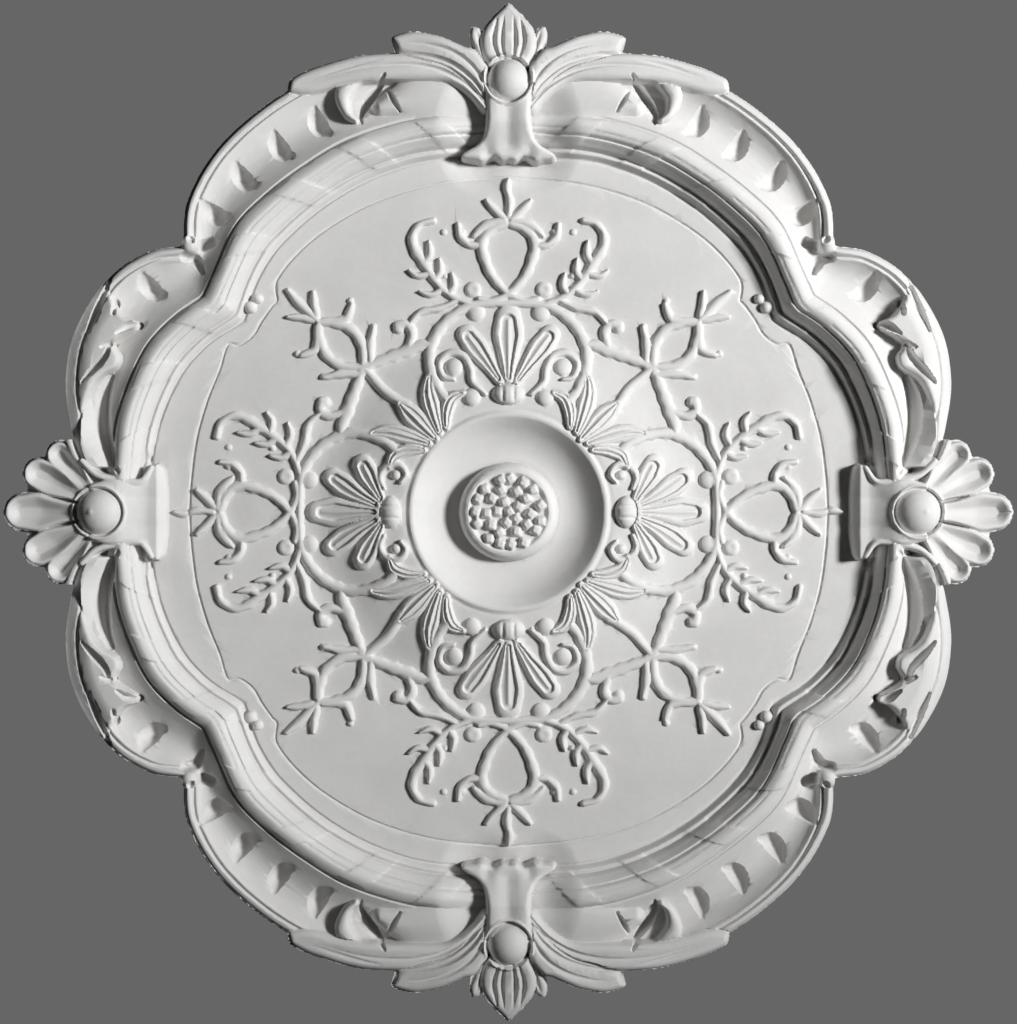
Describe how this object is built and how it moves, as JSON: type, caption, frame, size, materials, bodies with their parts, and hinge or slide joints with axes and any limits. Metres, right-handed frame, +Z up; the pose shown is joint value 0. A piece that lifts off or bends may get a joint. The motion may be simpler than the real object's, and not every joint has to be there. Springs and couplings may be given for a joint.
{
  "type": "ceiling rose",
  "caption": "Round plaster ceiling rose with a lobed egg-and-leaf frame, shells and crests, arabesque field and dished centre.",
  "frame": {"origin": "centre of the flat back, which lies against the ceiling", "axes": "+Z up, out of the back into the ceiling; the relief faces down, -Z; +X and +Y towards a shell and a crest"},
  "size_m": [0.96, 0.968, 0.063],
  "materials": {
    "plaster": "matt white plaster, cast and primed"
  },
  "bodies": {
    "root": {"ceiling_rose": "plaster"}
  },
  "joints": []
}
